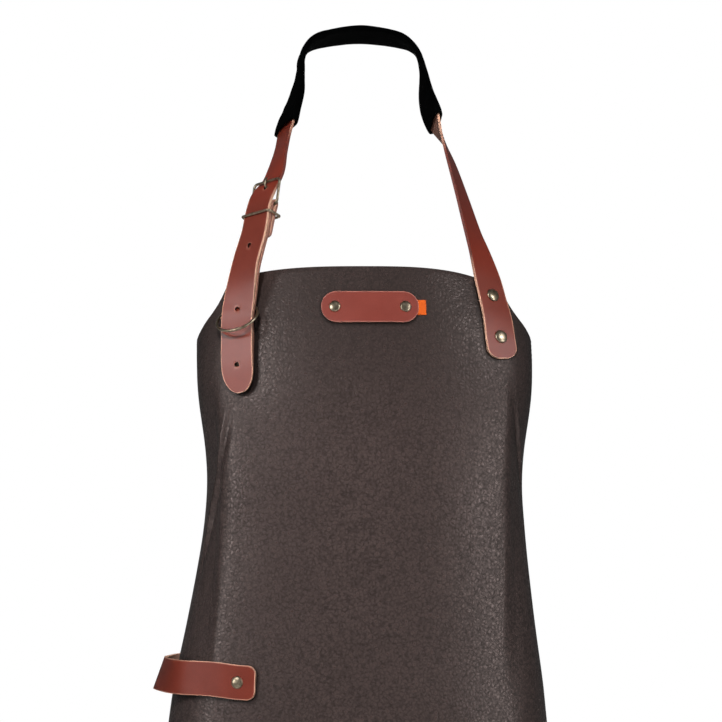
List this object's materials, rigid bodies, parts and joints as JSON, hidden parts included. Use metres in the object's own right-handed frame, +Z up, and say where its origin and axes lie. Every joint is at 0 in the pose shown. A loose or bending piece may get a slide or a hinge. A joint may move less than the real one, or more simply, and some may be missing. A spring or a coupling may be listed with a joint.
{
  "type": "leather apron",
  "caption": "Dark brown leather bib apron in its worn form, with a buckled leather neck strap in a fabric sleeve, a riveted label patch, a hanging ring and a waist belt.",
  "frame": {"origin": "where the inside of the neck strap rests on the wearer's nape", "axes": "+Z up, the wearer faces -Y, +X to the right of a viewer who stands in front"},
  "size_m": [0.4204, 0.2808, 1.0481],
  "materials": {
    "apron_leather": "dark brown pebbled leather with a soft sheen",
    "strap_leather": "smooth red-brown vegetable tanned leather with pale cut edges",
    "sleeve_fabric": "matt black woven fabric",
    "brass": "antique brass, satin",
    "tag_fabric": "orange woven ribbon"
  },
  "bodies": {
    "root": {"apron_body": "apron_leather", "neck_strap": "strap_leather", "neck_sleeve": "sleeve_fabric", "buckle_strap": "strap_leather", "buckle_frame": "brass", "buckle_prong": "brass", "strap_keeper": "brass", "hanging_ring": "brass", "label_patch": "strap_leather", "side_tag": "tag_fabric", "waist_belt_left": "strap_leather", "waist_belt_right": "strap_leather", "waist_clasp": "brass", "strap_rivet_upper": "brass", "strap_rivet_lower": "brass", "buckle_strap_rivet_upper": "brass", "buckle_strap_rivet_lower": "brass", "label_rivet_left": "brass", "label_rivet_right": "brass", "waist_rivet_left": "brass", "waist_rivet_right": "brass"}
  },
  "joints": []
}
